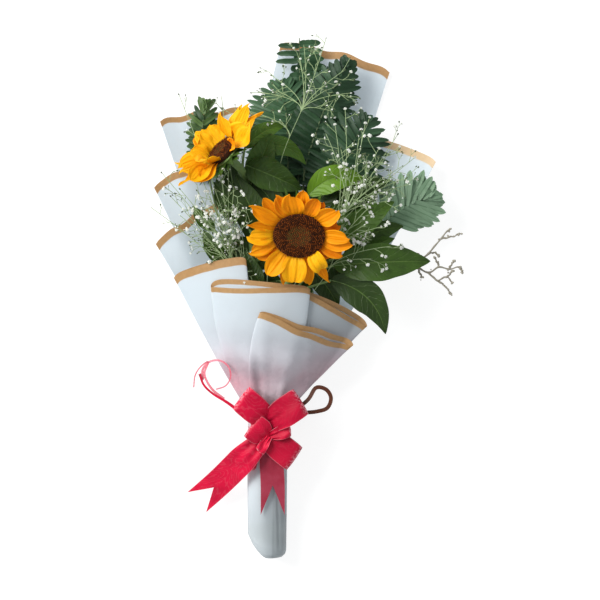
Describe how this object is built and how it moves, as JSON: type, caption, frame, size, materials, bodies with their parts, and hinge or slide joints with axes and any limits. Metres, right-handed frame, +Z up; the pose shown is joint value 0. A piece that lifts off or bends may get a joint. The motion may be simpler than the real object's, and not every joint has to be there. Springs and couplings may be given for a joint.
{
  "type": "bunch of sunflowers",
  "caption": "Hand-tied bunch of sunflowers with leaves, fern, baby's breath and a dry twig in frosted wrapping paper with a gold border and a ribbon bow, lying on its back.",
  "frame": {"origin": "middle of the bunch's box on the surface it lies on", "axes": "+Y along the bunch from the handle to the flower heads, +Z up from the surface, +X to the right as the bow is seen from above"},
  "size_m": [0.3464, 0.5821, 0.1302],
  "materials": {
    "wrap_paper": "frosted",
    "binding_tape": "satin",
    "leaf_green": "satin",
    "petal_orange": "matte",
    "disc_brown": "matte",
    "fern_green": "satin",
    "blossom_white": "matte",
    "twig_grey": "matte",
    "ribbon_crimson": "satin"
  },
  "bodies": {
    "root": {"paper_handle": "wrap_paper", "binding_tape": "binding_tape", "leafy_stem_right": "leaf_green", "sunflower_right_petals": "petal_orange", "sunflower_right_disc": "disc_brown", "leafy_stem_left": "leaf_green", "sunflower_left_petals": "petal_orange", "sunflower_left_disc": "disc_brown", "fern_frond_left": "fern_green", "fern_frond_middle_tall": "fern_green", "fern_frond_middle_left": "fern_green", "fern_frond_middle_right": "fern_green", "fern_frond_right_tall": "fern_green", "fern_frond_right": "fern_green", "babys_breath_left": "blossom_white", "babys_breath_middle": "blossom_white", "babys_breath_middle_right": "blossom_white", "babys_breath_right": "blossom_white", "babys_breath_far_left": "blossom_white", "dry_twig": "twig_grey", "ribbon_bow": "ribbon_crimson", "paper_front_left": "wrap_paper", "paper_front_right": "wrap_paper", "paper_front_middle": "wrap_paper", "paper_front_top": "wrap_paper", "paper_back_middle": "wrap_paper", "paper_back_left": "wrap_paper", "paper_back_right": "wrap_paper", "paper_side_left": "wrap_paper", "paper_side_left_low": "wrap_paper"}
  },
  "joints": []
}
